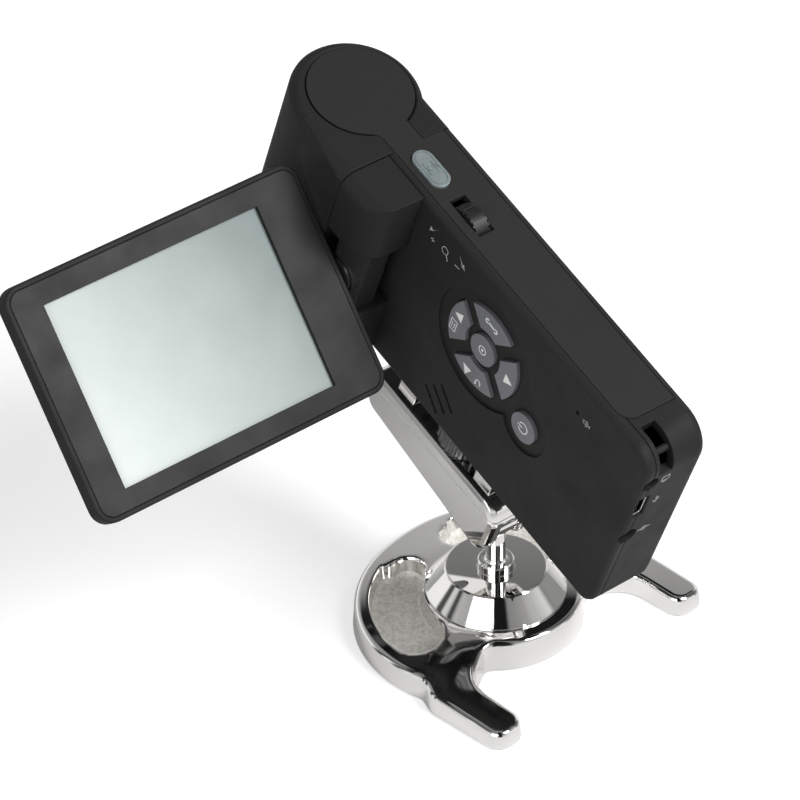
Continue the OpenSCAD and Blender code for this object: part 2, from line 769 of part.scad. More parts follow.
stand_base();
base_collar();
base_feet();
base_screw();
socket_ring();
stand_stem();
stem_pin();
arm_bar();
arm_cap();
arm_pads();
clamp_wheel();
tripod_bush();
front_shell();
back_shell();
head_housing();
top_cover();
hinge_tower();
fold_pin();
fold_knuckle();
swivel_shaft();
screen_case();
screen_bezel();
lcd_glass();
screen_board();
key_up();
key_right();
key_down();
key_left();
key_ok();
key_power();
shutter_key();
focus_wheel();
wheel_axle();
strap_bar();
video_jack();
usb_socket();
power_jack();
lens_ring();
lens_glass();
led_ring();
optics_tube();
main_board();
battery_pack();
speaker();
shell_screws();
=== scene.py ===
# %% [markdown]
# # A pocket digital microscope on its chrome stand
# The microscope is a slab of soft black plastic with a round lens barrel at one end, a keypad on
# its face and a screen that folds out on a two-way hinge. It is clamped on a polished stand.
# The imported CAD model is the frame: every solid is already in its place, in metres. This lesson
# gives the solids their finishes, adds the printed signs and the smooth casting of the base, and
# sets up the light and the camera.

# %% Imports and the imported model
import json
import math

import bpy
import numpy as np
from mathutils import Matrix, Vector
from mathutils.geometry import delaunay_2d_cdt

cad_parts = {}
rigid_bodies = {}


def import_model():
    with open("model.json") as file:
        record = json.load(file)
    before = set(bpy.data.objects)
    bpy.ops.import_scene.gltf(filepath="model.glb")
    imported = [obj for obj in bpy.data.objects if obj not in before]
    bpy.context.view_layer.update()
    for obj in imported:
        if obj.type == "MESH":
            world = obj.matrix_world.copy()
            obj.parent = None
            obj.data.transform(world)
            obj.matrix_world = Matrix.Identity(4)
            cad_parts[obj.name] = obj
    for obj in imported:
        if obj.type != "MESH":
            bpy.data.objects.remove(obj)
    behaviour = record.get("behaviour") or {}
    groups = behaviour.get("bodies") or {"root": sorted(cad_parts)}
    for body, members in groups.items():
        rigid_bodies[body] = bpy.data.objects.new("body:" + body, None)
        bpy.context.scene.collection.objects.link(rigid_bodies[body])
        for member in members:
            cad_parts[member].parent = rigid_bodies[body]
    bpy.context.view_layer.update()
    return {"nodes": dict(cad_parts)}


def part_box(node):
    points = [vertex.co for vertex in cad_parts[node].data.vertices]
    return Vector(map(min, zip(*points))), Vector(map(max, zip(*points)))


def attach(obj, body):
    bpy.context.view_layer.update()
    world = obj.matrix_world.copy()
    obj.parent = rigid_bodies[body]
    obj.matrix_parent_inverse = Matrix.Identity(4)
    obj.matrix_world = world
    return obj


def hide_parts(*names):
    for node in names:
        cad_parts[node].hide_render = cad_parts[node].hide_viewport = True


for leftover in list(bpy.data.objects):
    bpy.data.objects.remove(leftover)
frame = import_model()
NODES = frame["nodes"]
scene = bpy.context.scene
MM = 0.001
print("CAD nodes:", len(NODES))

# %% [markdown]
# ## Two frames of our own
# The microscope is drawn level in its own millimetres, with x along the slab from the barrel to
# the tail, y into the slab and z up. It is pitched about the cross pin of the stand. The base has
# its own millimetres too, turned a little about the stem. Signs and castings are easier to draw
# in these frames than in the world's, so two small functions carry points over.

# %% Body and base frames
PITCH = math.radians(21)
PIN = np.array([77.5, 4.6, -78.9])
PIN_HEIGHT = 30.5
BASE_TURN = math.radians(8)


def in_body(points):
    """World metres of body points: move the pin to zero, pitch about y, lift to the pin's height."""
    p = np.asarray(points, float) - PIN
    c, s = math.cos(PITCH), math.sin(PITCH)
    return np.stack([c * p[..., 0] + s * p[..., 2], p[..., 1],
                     c * p[..., 2] - s * p[..., 0] + PIN_HEIGHT], -1) * MM


def in_base(points):
    """World metres of base points: turn about the stem's axis."""
    p = np.asarray(points, float)
    c, s = math.cos(BASE_TURN), math.sin(BASE_TURN)
    return np.stack([c * p[..., 0] - s * p[..., 1], s * p[..., 0] + c * p[..., 1], p[..., 2]], -1) * MM


print("barrel top at", in_body([0, 0, 0]).round(4))

# %% [markdown]
# ## Small helpers for shader nodes
# In the shader editor a node is added from a menu, its settings are picked and its sockets are
# joined by dragging. A script does the same in three steps, and these helpers keep them short: an
# input takes either a plain number or the output of another node.

# %% Node helpers: one node and its inputs


def feed(tree, socket, value):
    """Joins an input to another node's output, or sets it to a plain value."""
    if isinstance(value, bpy.types.NodeSocket):
        tree.links.new(value, socket)
    else:
        socket.default_value = value


def node(tree, kind, values=None, **settings):
    """A shader node; 'settings' are its properties, 'values' go to its inputs by name or number."""
    made = tree.nodes.new("ShaderNode" + kind)
    for key, value in settings.items():
        setattr(made, key, value)
    for key, value in (values or {}).items():
        feed(tree, made.inputs[key], value)
    return made


# %% Node helpers: sums, ranges, mixes and a new material


def maths(tree, operation, *values):
    """The output of a Math node."""
    return node(tree, "Math", dict(enumerate(values)), operation=operation).outputs[0]


def ranged(tree, value, start, end, low, high):
    """A value moved from the range start..end to low..high, and kept inside it."""
    return node(tree, "MapRange", {"Value": value, "From Min": start, "From Max": end,
                                   "To Min": low, "To Max": high}).outputs["Result"]


def mixed(tree, factor, a, b, blend="MIX"):
    """Two colours mixed by a factor."""
    return node(tree, "Mix", {"Factor": factor, "A": a, "B": b}, data_type="RGBA",
                blend_type=blend).outputs["Result"]


def new_material(name):
    """A material with its node tree and its Principled surface."""
    made = bpy.data.materials.new(name)
    made.use_nodes = True
    return made, made.node_tree, made.node_tree.nodes["Principled BSDF"]


# %% [markdown]
# ## Shared patterns
# Moulded plastic has a fine even grain, and anything that is handled has faint smudges. Both are
# needed by many finishes, so each is a node group: it reads Object coordinates and gives a value
# from 0 to 1, and each material decides what to do with it. One group could hold both, but two
# small ones are easier to try out on their own.

# %% Node groups for grain and smudges


def noise_group(name, detail, low, high):
    """Noise on Object coordinates, 'Size' metres from bump to bump, stretched from low..high to 0..1."""
    group = bpy.data.node_groups.new(name, "ShaderNodeTree")
    size = group.interface.new_socket(name="Size", in_out="INPUT", socket_type="NodeSocketFloat")
    size.default_value = 0.001
    group.interface.new_socket(name="Value", in_out="OUTPUT", socket_type="NodeSocketFloat")
    given, out = group.nodes.new("NodeGroupInput"), group.nodes.new("NodeGroupOutput")
    per_metre = maths(group, "DIVIDE", 1, given.outputs["Size"])
    noise = node(group, "TexNoise", {"Vector": node(group, "TexCoord").outputs["Object"],
                                     "Scale": per_metre, "Detail": detail})
    feed(group, out.inputs["Value"], ranged(group, noise.outputs["Fac"], low, high, 0, 1))
    return group


def pattern(tree, group, size):
    """The value of a noise group in a material."""
    return node(tree, "Group", {"Size": size}, node_tree=group).outputs["Value"]


GRAIN = noise_group("grain", 2, 0.3, 0.7)
SMUDGE = noise_group("smudge", 4, 0.4, 0.7)
print("groups:", GRAIN.name, SMUDGE.name)

# %% [markdown]
# ## One recipe for all finishes
# Every finish here is a Principled surface. What changes is its colour, its gloss, how strong its
# grain is and how much the smudges dull it. A Bevel node rounds the light on edges that are sharp
# in the solids, because no moulded or polished edge is truly sharp. A Bevel modifier would round
# the mesh itself, but the solids come as loose triangles, which it can't join.

# %% The finish function
COAT_ROUGHNESS, BEVEL_SAMPLES, GRAIN_HEIGHT = 0.04, 4, 0.3


def finish(name, color, rough, metal=0.0, grain=0.0, grain_size=0.0003, smudge=0.0,
           smudge_size=0.012, tint=0.0, spec=0.5, coat=0.0, edge=0.0002):
    """A Principled finish: smudges add up to 'smudge' to the roughness and take 'tint' off the colour."""
    made, tree, surface = new_material(name)
    for socket, value in (("Base Color", (*color, 1)), ("Roughness", rough), ("Metallic", metal),
                          ("Coat Weight", coat), ("Coat Roughness", COAT_ROUGHNESS),
                          ("Specular IOR Level", spec)):
        surface.inputs[socket].default_value = value
    mask = pattern(tree, SMUDGE, smudge_size) if smudge or tint else None
    if smudge:
        feed(tree, surface.inputs["Roughness"], ranged(tree, mask, 0, 1, rough, rough + smudge))
    if tint:
        darker = (*[c * (1 - tint) for c in color], 1)
        feed(tree, surface.inputs["Base Color"], mixed(tree, mask, (*color, 1), darker))
    normal = None
    if edge:
        normal = node(tree, "Bevel", {"Radius": edge}, samples=BEVEL_SAMPLES).outputs["Normal"]
    if grain:
        bump = node(tree, "Bump", {"Strength": grain, "Distance": grain_size * GRAIN_HEIGHT,
                                   "Height": pattern(tree, GRAIN, grain_size)})
        if normal:
            feed(tree, bump.inputs["Normal"], normal)
        normal = bump.outputs["Normal"]
    if normal:
        feed(tree, surface.inputs["Normal"], normal)
    return made


# %% [markdown]
# ## The finishes
# The shells have a soft-touch black coat, which is never quite black: a real black plastic sends
# back one or two per cent of the light. The base and arm are polished chrome plate. The pockets
# of the base are as cast, with only the plate over them, so they are a rough silver. The keys are
# grey resin. Colours are written as linear values, which is what the shader computes with.

# %% Plastics
SOFT_BLACK = finish("soft_black", (0.0142, 0.0141, 0.0137), 0.55, grain=0.3, smudge=0.1, tint=0.12,
                    spec=0.2, edge=0.0005)
# The top cover is the shells' plastic painted lighter: painted light, where the lamp falls on the top.
COVER_PAINTED_LIGHT = finish("cover_black_painted_light", (0.0185, 0.0183, 0.0178), 0.52, grain=0.3, smudge=0.08, tint=0.1,
                     spec=0.24)
FRAME_BLACK = finish("frame_black", (0.0115, 0.0114, 0.011), 0.48, grain=0.2, smudge=0.12, tint=0.12,
                     spec=0.28)
WHEEL_BLACK = finish("wheel_black", (0.011, 0.011, 0.012), 0.36, spec=0.45, smudge=0.1, edge=0.00008)
PORT_BLACK = finish("port_black", (0.006, 0.006, 0.007), 0.35, smudge=0.1)
KEY_GREY = finish("key_grey", (0.142, 0.144, 0.158), 0.4, grain=0.15, smudge=0.1, tint=0.12,
                  edge=0.00025)
SHUTTER_SILVER = finish("shutter_silver", (0.235, 0.275, 0.28), 0.34, metal=0.25, grain=0.2,
                        smudge=0.12, smudge_size=0.003, tint=0.2, edge=0.0005)
print("plastics:", len(bpy.data.materials))

# %% Metals
PLATE = (0.88, 0.87, 0.855)
CHROME = finish("polished_chrome", PLATE, 0.03, metal=1.0, smudge=0.05, tint=0.04, edge=0.0004)
CAST_CHROME = finish("cast_chrome", PLATE, 0.035, metal=1.0, smudge=0.05, tint=0.04, edge=0)
CAST_SILVER = finish("cast_silver", (0.80, 0.785, 0.73), 0.42, metal=0.15, grain=1.0, grain_size=0.0004,
                     smudge=0.15, smudge_size=0.0009, tint=0.3, edge=0)
# Knurled steel painted far darker than the turned steel: painted shade of the dark gap between arm and
# slab, and of the hinge.
KNURL_PAINTED_SHADE = finish("knurled_steel_painted_shade", (0.16, 0.16, 0.165), 0.35, metal=1.0, smudge=0.12, tint=0.2,
               edge=0.0001)
STEEL = finish("turned_steel", (0.68, 0.68, 0.69), 0.28, metal=1.0, smudge=0.12, tint=0.1,
               edge=0.0001)
BRASS = finish("turned_brass", (0.66, 0.47, 0.2), 0.3, metal=1.0, smudge=0.15, tint=0.15)
print("plastics and metals:", len(bpy.data.materials))

# %% Rubber, resin, glass and inks
RUBBER = finish("black_rubber", (0.012, 0.012, 0.012), 0.75, grain=0.4, tint=0.2)
BOARD = finish("green_board", (0.02, 0.12, 0.05), 0.4, tint=0.3)
WRAP = finish("battery_wrap", (0.05, 0.12, 0.3), 0.3, tint=0.1)
LED_RESIN = finish("led_resin", (0.9, 0.88, 0.8), 0.3, tint=0.1)
LENS = finish("lens_glass", (0.012, 0.012, 0.02), 0.03, coat=1.0, smudge=0.05)
WHITE_INK = finish("white_ink", (0.72, 0.72, 0.71), 0.5, grain=0.2, tint=0.12, edge=0)
GREY_INK = finish("grey_ink", (0.36, 0.365, 0.37), 0.5, grain=0.2, tint=0.12, edge=0)
ETCHED = finish("etched_line", (0.17, 0.21, 0.215), 0.5, grain=0.2, tint=0.12, edge=0)
print("finishes:", len(bpy.data.materials))

# %% [markdown]
# ## The screen's painted light
# The screen shows no picture. Its pale light is a painted reflection of the softbox, painted into the
# base colour, and it falls off towards the hinge and the top. The two directions of the fall are the
# panel's own: across it along world y, and up it, which leans back from the vertical. A Mapping node
# turns Object coordinates into them. An image could do the same, but two Map Range nodes are exact
# at any size.

# %% Screen: painted reflection in the base colour
LCD_LOW, LCD_HIGH = (np.array(corner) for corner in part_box("lcd_glass"))
LCD_MID = (LCD_LOW + LCD_HIGH) / 2
LCD_WIDTH, LCD_HEIGHT = LCD_HIGH[1] - LCD_LOW[1], 0.047
PANEL_LEAN = math.radians(59) - PITCH
# The ramp's two ends and the gradient's gain and lift: the screen's painted reflection of the softbox.
RAMP_DARK_PAINTED, RAMP_PALE_PAINTED = (0.0, 0.035, 0.03, 1), (0.93, 0.975, 0.955, 1)
GAIN_TOP, GAIN_FOOT, LIFT_TOP, LIFT_FOOT = 0.285, 0.35, 0.157, 0.285
CLOUD_SIZE, CLOUD_DEPTH = 0.012, 0.012


def painted_screen_material():
    """Painted light in the base colour = lift + across * gain: across runs 0..1 from the hinge, gain and
    lift grow downwards.
    """
    made, tree, surface = new_material("lcd_painted_reflection")
    place = node(tree, "TexCoord").outputs["Object"]
    turn = node(tree, "Mapping", {"Vector": place, "Location": LCD_MID, "Rotation": (0, -PANEL_LEAN, 0)},
                vector_type="TEXTURE")
    axes = node(tree, "SeparateXYZ", {"Vector": turn.outputs["Vector"]})
    half_w, half_h = LCD_WIDTH / 2, LCD_HEIGHT / 2
    across = ranged(tree, axes.outputs["Y"], half_w, -half_w, 0, 1)
    gain = ranged(tree, axes.outputs["Z"], half_h, -half_h, GAIN_TOP, GAIN_FOOT)
    lift = ranged(tree, axes.outputs["Z"], half_h, -half_h, LIFT_TOP, LIFT_FOOT)
    # The softbox's reflection, painted into the colour as a gradient.
    screen_painted_light = maths(tree, "ADD", maths(tree, "MULTIPLY", across, gain), lift)
    clouds = ranged(tree, pattern(tree, SMUDGE, CLOUD_SIZE), 0, 1, -CLOUD_DEPTH, CLOUD_DEPTH)
    tone = node(tree, "ValToRGB", {"Fac": maths(tree, "ADD", screen_painted_light, clouds)})
    for element, place, color in zip(tone.color_ramp.elements, (0.0, 1.0), (RAMP_DARK_PAINTED, RAMP_PALE_PAINTED)):
        element.position = place
        element.color = color
    feed(tree, surface.inputs["Base Color"], tone.outputs["Color"])
    surface.inputs["Roughness"].default_value = 0.3
    surface.inputs["Specular IOR Level"].default_value = 0.2
    return made


LCD = painted_screen_material()
print("screen", round(LCD_WIDTH, 4), "m wide")

# %% [markdown]
# ## Dressing the solids
# Each solid gets one finish, as each real piece is made of one material. By hand this is a click
# in the material list; a table from finish to pieces does the same and shows at a glance what is
# made of what.

# %% Every solid gets its finish
LOOK = {
    CHROME: ["stand_base", "base_collar", "socket_ring", "stand_stem", "arm_bar", "arm_cap",
             "usb_socket"],
    STEEL: ["base_screw", "stem_pin", "wheel_axle", "speaker", "shell_screws"],
    # The clamp wheel and the fold pin take the knurled steel painted dark: painted shade.
    KNURL_PAINTED_SHADE: ["clamp_wheel", "fold_pin"], BRASS: ["tripod_bush"],
    RUBBER: ["base_feet", "arm_pads"],
    SOFT_BLACK: ["front_shell", "back_shell", "head_housing", "hinge_tower", "fold_knuckle",
                 "screen_case", "strap_bar"],
    COVER_PAINTED_LIGHT: ["top_cover"], FRAME_BLACK: ["screen_bezel"], LCD: ["lcd_glass"],
    KEY_GREY: ["key_up", "key_right", "key_down", "key_left", "key_ok", "key_power"],
    SHUTTER_SILVER: ["shutter_key"],
    # The swivel shaft takes the black wheel plastic: painted shade behind the screen's edge.
    WHEEL_BLACK: ["focus_wheel", "lens_ring", "optics_tube", "swivel_shaft"],
    PORT_BLACK: ["video_jack", "power_jack"], LENS: ["lens_glass"], LED_RESIN: ["led_ring"],
    BOARD: ["screen_board", "main_board"], WRAP: ["battery_pack"],
}
for look, names in LOOK.items():
    for name in names:
        NODES[name].data.materials.clear()
        NODES[name].data.materials.append(look)
print("dressed:", sum(map(len, LOOK.values())), "of", len(NODES))

# %% [markdown]
# ## Printed signs
# The signs on the keys are screen print: flat figures a few hundredths of a millimetre thick.
# Each is drawn upright on a small sheet, u to the right and v up, from closed outlines. The
# microscope is held with the barrel up, so on the slab's face v points to the barrel (body -x)
# and u to the top edge (body +z). A decal would need an image, and text objects a font; thin
# plates are real geometry and need neither. There are no words, only plain signs.

# %% Outline helpers: lines and circles
INK, INK_SLOT = 0.04, "silver_key"


def circle(u, v, radius, count=40):
    """Points at equal steps of the angle."""
    a = np.linspace(0, 2 * math.pi, count, endpoint=False)
    return np.stack([u + radius * np.cos(a), v + radius * np.sin(a)], 1)


def stroke(points, width):
    """Outline of an open line: each point pushed half the width along the mean of its two normals."""
    p = np.asarray(points, float)
    along = np.diff(p, axis=0)
    along /= np.linalg.norm(along, axis=1)[:, None]
    mean = np.vstack([along[:1], along[:-1] + along[1:], along[-1:]])
    mean /= np.linalg.norm(mean, axis=1)[:, None]
    next_along = np.vstack([along, along[-1:]])
    reach = 1 / np.sum(next_along * mean, 1)
    side = np.stack([-mean[:, 1], mean[:, 0]], 1)
    out = side * (width / 2 * np.clip(reach, 1, 2))[:, None]
    return [np.vstack([p + out, (p - out)[::-1]])]


def arc(u, v, radius, start, end, width, count=28):
    """A stroke along part of a circle, angles in degrees."""
    a = np.radians(np.linspace(start, end, count))
    return stroke(np.stack([u + radius * np.cos(a), v + radius * np.sin(a)], 1), width)


def ring(u, v, radius, width):
    """A ring in two half strokes that meet."""
    return arc(u, v, radius, 0, 180, width) + arc(u, v, radius, 180, 360, width)


# %% Outline helpers: boxes and triangles


def box_line(u, v, w, h, width):
    """A rectangle drawn as four strokes that overlap at the corners."""
    a, b, e = w / 2, h / 2, width / 2
    return (stroke([(u - a - e, v - b), (u + a + e, v - b)], width)
            + stroke([(u - a - e, v + b), (u + a + e, v + b)], width)
            + stroke([(u - a, v - b + e), (u - a, v + b - e)], width)
            + stroke([(u + a, v - b + e), (u + a, v + b - e)], width))


def triangle(u, v, size, turn):
    """An isosceles triangle that points up, turned by 'turn' degrees."""
    c, s = math.cos(math.radians(turn)), math.sin(math.radians(turn))
    p = np.array([(-0.62, -0.5), (0.62, -0.5), (0.0, 0.6)]) * size
    return [p @ np.array([[c, s], [-s, c]]) + (u, v)]


print("a box is drawn with", len(box_line(0, 0, 2, 1, 0.2)), "strokes")

# %% From outlines to a printed plate


def print_sign(name, outlines, to_world, body, ink):
    """Each outline becomes a thin closed plate: a front at height INK, a back at 0, a wall between."""
    points, faces, start = [], [], 0
    for outline in outlines:
        turn = np.cross(outline, np.roll(outline, -1, 0)).sum()
        outline = outline if turn > 0 else outline[::-1]
        n = len(outline)
        points += [np.column_stack([outline, np.full(n, INK)]), np.column_stack([outline, np.zeros(n)])]
        front, back = start + np.arange(n), start + n + np.arange(n)
        faces.append(front.tolist())
        faces.append(back[::-1].tolist())
        faces += np.stack([front, back, np.roll(back, -1), np.roll(front, -1)], 1).tolist()
        start += 2 * n
    mesh = bpy.data.meshes.new(name)
    mesh.from_pydata(to_world(np.vstack(points)).tolist(), [], faces)
    mesh.materials.append(ink)
    piece = bpy.data.objects.new(name, mesh)
    scene.collection.objects.link(piece)
    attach(piece, body)
    print(name, "on", body, "with", len(outlines), "strokes")


# %% [markdown]
# Each key carries its own sign, so the sign travels with the key when it is pressed: up has a
# small page and an arrow, right a wrench, down an arrow, left an arrow and a return arrow, the
# middle key a ring with a dot, and the power key the usual broken ring.

# %% Keypad signs
PAD_X, PAD_Z, POWER_X, POWER_Z = 63, -22, 81.5, -30
KEY_TOP, FACE, SINK = -5.1, -4.8, 0.005  # body y of both, and how far the ink sinks in
LINE, FINE = 0.28, 0.2


def on_face(x, z, y):
    """A sheet lying on the slab's face: v to the barrel, u to the top edge, height towards -y."""
    return lambda p: in_body(np.stack([x - p[:, 1], y + SINK - p[:, 2], z + p[:, 0]], 1))


wrench = (stroke([(-0.2, -1.05), (0.1, 1.05)], 0.5) + arc(-0.33, -1.55, 0.55, 140, 400, 0.4)
          + arc(0.23, 1.55, 0.55, -40, 220, 0.4))
back_arrow = (arc(0.0, 0.1, 0.75, -90, 90, LINE) + stroke([(-0.75, 0.85), (0.02, 0.85)], LINE)
              + stroke([(-0.5, -0.65), (0.02, -0.65)], LINE) + triangle(-0.95, 0.85, 0.75, 90))
page = (box_line(-2.3, 0.7, 3.3, 2.0, FINE) + stroke([(-3.2, 1.1), (-1.4, 1.1)], FINE)
        + stroke([(-3.2, 0.3), (-1.4, 0.3)], FINE))
KEY_SIGNS = [
    ("up", PAD_X - 9.6, PAD_Z, page + triangle(1.9, 0.0, 2.4, 0)),
    ("right", PAD_X, PAD_Z + 9.4, wrench),
    ("down", PAD_X + 9.8, PAD_Z, triangle(-0.2, 0.0, 2.5, 180)),
    ("left", PAD_X, PAD_Z - 9.9, triangle(-0.5, 2.3, 2.4, 90) + [p + (-0.3, -2.2) for p in back_arrow]),
    ("ok", PAD_X, PAD_Z, ring(0, 0, 1.15, 0.26) + [circle(0, 0, 0.4)]),
    ("power", POWER_X, POWER_Z, arc(0, 0, 1.5, 118, 422, LINE) + stroke([(0, 0.2), (0, 1.9)], LINE)),
]
for key, x, z, outlines in KEY_SIGNS:
    print_sign("sign_" + key, outlines, on_face(x, z, KEY_TOP), key + "_button", WHITE_INK)

# %% [markdown]
# Beside the wheel stand a plus, a lens, a minus and two slim arrows, and beside the microphone's
# hole a small microphone.

# %% Signs on the face
plus = stroke([(-0.7, 0), (0.7, 0)], 0.22) + stroke([(0, -0.7), (0, 0.7)], 0.22)
minus = stroke([(-2.4, -3.9), (-2.2, -5.6)], 0.24)
lens = ring(-1.7, 0.0, 1.05, 0.22) + stroke([(-2.6, -0.8), (-3.9, -1.6)], 0.26)
upper_arrow = [np.array([(1.9, 3.6), (-1.0, 6.1), (-0.1, 5.2)]),
               np.array([(-0.9, 6.2), (-0.1, 5.0), (0.5, 6.1)])]
lower_arrow = [np.array([(1.6, -4.3), (-1.0, -7.1), (-0.2, -5.9)]),
               np.array([(-1.1, -7.2), (0.4, -6.5), (-0.5, -5.6)])]
print_sign("sign_zoom", upper_arrow + [p + (-2.6, 4.4) for p in plus] + lens + minus + lower_arrow,
           on_face(43.0, -5.9, FACE), "microscope", GREY_INK)
THIN = 0.18
capsule = (arc(0, 0.35, 0.42, 0, 180, THIN) + arc(0, -0.15, 0.42, 180, 360, THIN)
           + stroke([(-0.42, -0.2), (-0.42, 0.4)], THIN) + stroke([(0.42, -0.2), (0.42, 0.4)], THIN))
holder = (arc(0, -0.1, 0.9, 190, 350, THIN) + stroke([(0, -0.95), (0, -1.6)], THIN)
          + stroke([(-0.5, -1.6), (0.5, -1.6)], THIN))
print_sign("sign_microphone", capsule + holder, on_face(96.3, -9.4, FACE), "microscope", GREY_INK)

# %% [markdown]
# The sockets on the tail have one plain sign each: a screen, a branching line and a plug's ring.

# %% Signs on the tail
TAIL = 117


def on_tail(y, z):
    """A sheet on the tail's end: u along +y, v up, height towards +x."""
    return lambda p: in_body(np.stack([TAIL - SINK + p[:, 2], y + p[:, 0], z + p[:, 1]], 1))


display = box_line(0, 0, 2.2, 1.5, FINE) + stroke([(-0.7, -1.25), (0.7, -1.25)], FINE)
branches = (stroke([(0, -1.1), (0, 1.1)], FINE) + triangle(0, 1.1, 0.7, 0)
            + stroke([(0, -0.5), (0.8, 0.1), (0.8, 0.5)], THIN)
            + stroke([(0, -0.9), (-0.8, -0.3), (-0.8, 0.1)], THIN))
plug = (ring(0, 0, 0.7, THIN) + [circle(0, 0, 0.25)] + stroke([(-1.9, 0), (-0.75, 0)], THIN)
        + stroke([(0.75, 0), (1.9, 0)], THIN))
for name, outlines, y, z in (("sign_video", display, 2.6, -10.0), ("sign_data", branches, 2.6, -18.6),
                             ("sign_charge", plug, 2.9, -30.4)):
    print_sign(name, outlines, on_tail(y, z), "microscope", GREY_INK)

# %% [markdown]
# The shutter key has a plain camera etched on its top, and a fine line just inside its rim.

# %% Etching on the shutter key
SHUTTER_X, SHUTTER_Y, SHUTTER_TOP = 26.5, 1.6, 0.8
ETCH_SINK, ETCH, RIM_LINE = 0.01, 0.16, 0.14
RIM_END, RIM_R, QUARTER = 3.0, 2.05, 10


def on_top(x, y, z):
    """A sheet on the top: u towards the tail, v towards the back, height up."""
    return lambda p: in_body(np.stack([x + p[:, 0], y + p[:, 1], z + p[:, 2] - ETCH_SINK], 1))


right_end, left_end = (circle(u, 0, RIM_R, 4 * QUARTER) for u in (RIM_END, -RIM_END))
stadium = np.vstack([right_end[3 * QUARTER:], right_end[:QUARTER + 1], left_end[QUARTER:3 * QUARTER + 1]])
camera_sign = (box_line(0, -0.1, 3.6, 2.3, ETCH) + ring(0, -0.15, 0.7, ETCH)
               + stroke([(-0.9, 1.15), (-0.5, 1.6), (0.5, 1.6), (0.9, 1.15)], ETCH))
print_sign("sign_shutter", stroke(np.vstack([stadium, stadium[:1]]), RIM_LINE) + camera_sign,
           on_top(SHUTTER_X, SHUTTER_Y, SHUTTER_TOP), "shutter_button", ETCHED)

# %% [markdown]
# ## The casting of the base
# The base is a zinc casting, polished and plated. A mirror shows every facet, so the plain solid
# is replaced by a smooth surface of the same size. By hand it could be modelled with subdivision
# and loop cuts. Here its outline is the zero line of a distance field, because soft corners come
# free with it: discs for the rear lobe and the front, rounded bars for the legs, joined where
# their distances are nearly the same. Points near that line are pulled onto it, the ring they
# form is carried up the wall and over a rounded edge, and the top is filled with a net of
# triangles that follows the dome.

# %% Soft corners


def soft_min(a, b, k):
    """The smaller of two distances, rounded over a width k where they cross."""
    h = np.maximum(k - np.abs(a - b), 0) / k
    return np.minimum(a, b) - h * h * k / 4


def soft_max(a, b, k):
    """The larger of two distances, rounded in the same way."""
    return -soft_min(-a, -b, k)


print("a blend over 4 mm fills a corner by", -soft_min(0, 0, 4), "mm")

# %% Distance field of the outline
LOBE_R, LOBE_X, LOBE_Y, REAR_R, FRONT_R, LOBE_CUT = 33.7, 1.0, 2.9, 32.9, 21.6, 9.0
LEG_Y, LEG_HALF, LEG_FROM, LEG_TO, LEG_CORNER = 32.9, 5.0, 10.2, 35.5, 4.3
NOTCH, NOTCH_NORMAL = (12.5, 17.6), (0.890, -0.456)
ROOT_SIDE, ROOT_BACK = 34.0, 4.0
LOBE_BLEND, CUT_BLEND, FRONT_BLEND, ROOT_BLEND, LEG_BLEND = 0.3, 4.0, 2.5, 3.0, 5.0


def outline_distance(x, y):
    """Signed distance to the base's outline, negative inside: the union of the rear lobe (three
    discs cut off at LOBE_CUT), the front disc, the root that fills the corner behind each leg, and
    the legs, which are rounded rectangles |x - mid| < half, |y - LEG_Y| < LEG_HALF."""
    y = np.abs(y)
    lobe = soft_min(np.hypot(x - LOBE_X, y - LOBE_Y) - LOBE_R, np.hypot(x, y) - REAR_R, LOBE_BLEND)
    lobe = soft_max(lobe, x - LOBE_CUT, CUT_BLEND)
    front = np.hypot(x, y) - FRONT_R
    notch = (x - NOTCH[0]) * NOTCH_NORMAL[0] + (y - NOTCH[1]) * NOTCH_NORMAL[1]
    root = soft_max(soft_max(notch, y - ROOT_SIDE, ROOT_BLEND), ROOT_BACK - x, ROOT_BLEND)
    dx = np.abs(x - (LEG_FROM + LEG_TO) / 2) - (LEG_TO - LEG_FROM) / 2 + LEG_CORNER
    dy = np.abs(y - LEG_Y) - LEG_HALF + LEG_CORNER
    outside = np.hypot(np.maximum(dx, 0), np.maximum(dy, 0))
    leg = outside + np.minimum(np.maximum(dx, dy), 0) - LEG_CORNER
    return soft_min(soft_min(soft_min(lobe, front, FRONT_BLEND), root, ROOT_BLEND), leg, LEG_BLEND)


print("outline distance at the stem:", round(float(outline_distance(0.0, 0.0)), 1), "mm")

# %% Lines on a distance field
FLAT = 0.2  # the least squared slope that a pull divides by


def slope(field, p, gap=0.01):
    """Gradient of a field at points p, by central differences."""
    gx = field(p[:, 0] + gap, p[:, 1]) - field(p[:, 0] - gap, p[:, 1])
    gy = field(p[:, 0], p[:, 1] + gap) - field(p[:, 0], p[:, 1] - gap)
    return np.stack([gx, gy], 1) / (2 * gap)


def spaced(p, count):
    """A closed line resampled at equal arc lengths."""
    loop = np.vstack([p, p[:1]])
    run = np.concatenate([[0], np.cumsum(np.linalg.norm(np.diff(loop, axis=0), axis=1))])
    at = np.linspace(0, run[-1], count, endpoint=False)
    return np.stack([np.interp(at, run, loop[:, 0]), np.interp(at, run, loop[:, 1])], 1)


def pulled(field, p, rounds=12):
    """Points moved along the gradient until the field is zero."""
    for _ in range(rounds):
        g = slope(field, p)
        p = p - g * (field(p[:, 0], p[:, 1]) / np.maximum((g * g).sum(1), FLAT))[:, None]
    return p


print("slope at the rear, in mm for each mm:", slope(outline_distance, np.array([[-30.0, 0.0]])).round(2))

